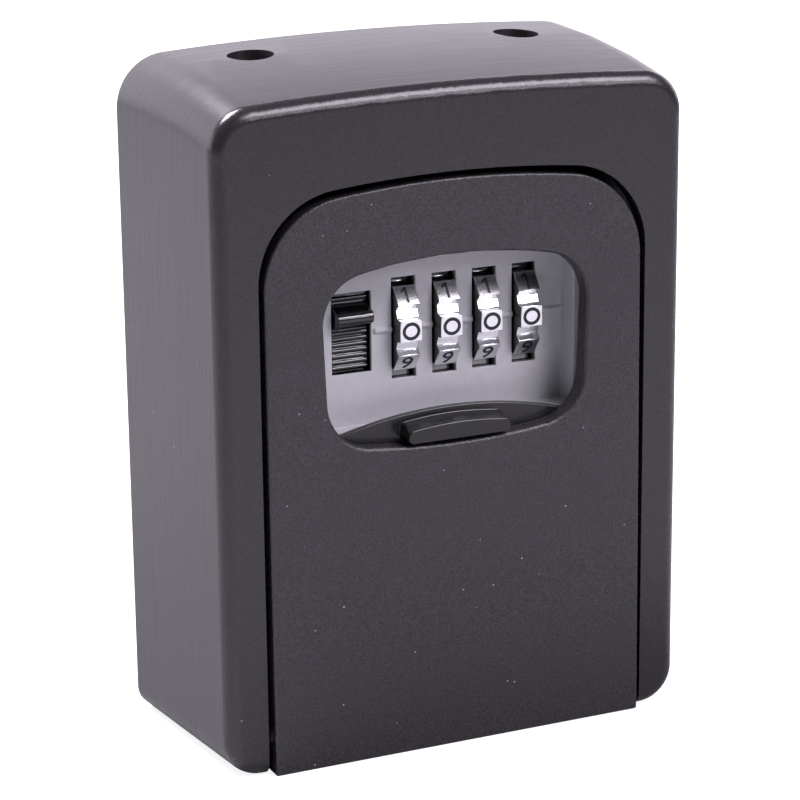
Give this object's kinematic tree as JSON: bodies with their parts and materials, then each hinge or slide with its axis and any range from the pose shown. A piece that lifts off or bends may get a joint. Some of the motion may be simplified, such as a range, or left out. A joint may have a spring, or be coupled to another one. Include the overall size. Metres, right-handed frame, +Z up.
{
  "type": "key lock box",
  "caption": "Wall-mounted key lock box with a drop-down front door, rotating code dials, a sliding dial shutter and a thumb lever that frees the latch.",
  "frame": {"origin": "centre of the bounding box's footprint, on the underside", "axes": "+Z up, +X to the right seen from the front, the door faces -Y and the wall is at +Y"},
  "size_m": [0.09, 0.0402, 0.119],
  "materials": {
    "case_paint": "satin",
    "door_paint": "satin",
    "shutter_paint": "satin",
    "pin_steel": "satin",
    "screw_steel": "satin",
    "spring_steel": "satin",
    "zinc": "satin",
    "grey_plastic": "satin",
    "cover_plastic": "matte",
    "black_plastic": "gloss",
    "dial_chrome": "polished",
    "sleeve_brass": "satin"
  },
  "bodies": {
    "case": {"case_shell": "case_paint", "hinge_pins": "pin_steel"},
    "door": {"door_panel": "door_paint", "lock_housing": "grey_plastic", "lock_rear_cover": "cover_plastic", "housing_screws": "screw_steel", "cover_screws": "screw_steel", "dial_spindle": "pin_steel", "detent_springs": "spring_steel"},
    "shutter": {"shutter": "shutter_paint"},
    "latch": {"latch_plate": "zinc", "open_lever": "black_plastic", "latch_spring": "spring_steel"},
    "reset": {"reset_yoke": "zinc", "reset_knob": "black_plastic"},
    "dial_1": {"dial_1": "dial_chrome"},
    "sleeve_1": {"sleeve_1": "sleeve_brass"},
    "dial_2": {"dial_2": "dial_chrome"},
    "sleeve_2": {"sleeve_2": "sleeve_brass"},
    "dial_3": {"dial_3": "dial_chrome"},
    "sleeve_3": {"sleeve_3": "sleeve_brass"},
    "dial_4": {"dial_4": "dial_chrome"},
    "sleeve_4": {"sleeve_4": "sleeve_brass"}
  },
  "joints": [
    {"name": "door_hinge", "type": "hinge", "parent": "case", "child": "door", "pos_m": [0, -0.0141, 0.005], "axis": [1, 0, 0], "range_deg": [0, 100]},
    {"name": "shutter_slide", "type": "slide", "parent": "door", "child": "shutter", "axis": [0, 0, 1], "range_m": [0, 0.027]},
    {"name": "latch_slide", "type": "slide", "parent": "door", "child": "latch", "axis": [0, 0, -1], "range_m": [0, 0.005], "stiffness_N_per_m": 300, "springref_m": -0.005, "deforming": ["latch_spring"]},
    {"name": "reset_slide", "type": "slide", "parent": "door", "child": "reset", "axis": [1, 0, 0], "range_m": [0, 0.0016]},
    {"name": "dial_1_turn", "type": "hinge", "parent": "door", "child": "dial_1", "pos_m": [0, -0.00325, 0.07285], "axis": [1, 0, 0], "continuous": true},
    {"name": "dial_2_turn", "type": "hinge", "parent": "door", "child": "dial_2", "pos_m": [0, -0.00325, 0.07285], "axis": [1, 0, 0], "continuous": true},
    {"name": "dial_3_turn", "type": "hinge", "parent": "door", "child": "dial_3", "pos_m": [0, -0.00325, 0.07285], "axis": [1, 0, 0], "continuous": true},
    {"name": "dial_4_turn", "type": "hinge", "parent": "door", "child": "dial_4", "pos_m": [0, -0.00325, 0.07285], "axis": [1, 0, 0], "continuous": true},
    {"name": "sleeve_1_shift", "type": "slide", "parent": "dial_1", "child": "sleeve_1", "axis": [1, 0, 0], "range_m": [0, 0.0016]},
    {"name": "sleeve_2_shift", "type": "slide", "parent": "dial_2", "child": "sleeve_2", "axis": [1, 0, 0], "range_m": [0, 0.0016]},
    {"name": "sleeve_3_shift", "type": "slide", "parent": "dial_3", "child": "sleeve_3", "axis": [1, 0, 0], "range_m": [0, 0.0016]},
    {"name": "sleeve_4_shift", "type": "slide", "parent": "dial_4", "child": "sleeve_4", "axis": [1, 0, 0], "range_m": [0, 0.0016]}
  ],
  "couplings": [
    {"joint": "sleeve_1_shift", "follows": "reset_slide", "ratio": 1},
    {"joint": "sleeve_2_shift", "follows": "reset_slide", "ratio": 1},
    {"joint": "sleeve_3_shift", "follows": "reset_slide", "ratio": 1},
    {"joint": "sleeve_4_shift", "follows": "reset_slide", "ratio": 1}
  ]
}
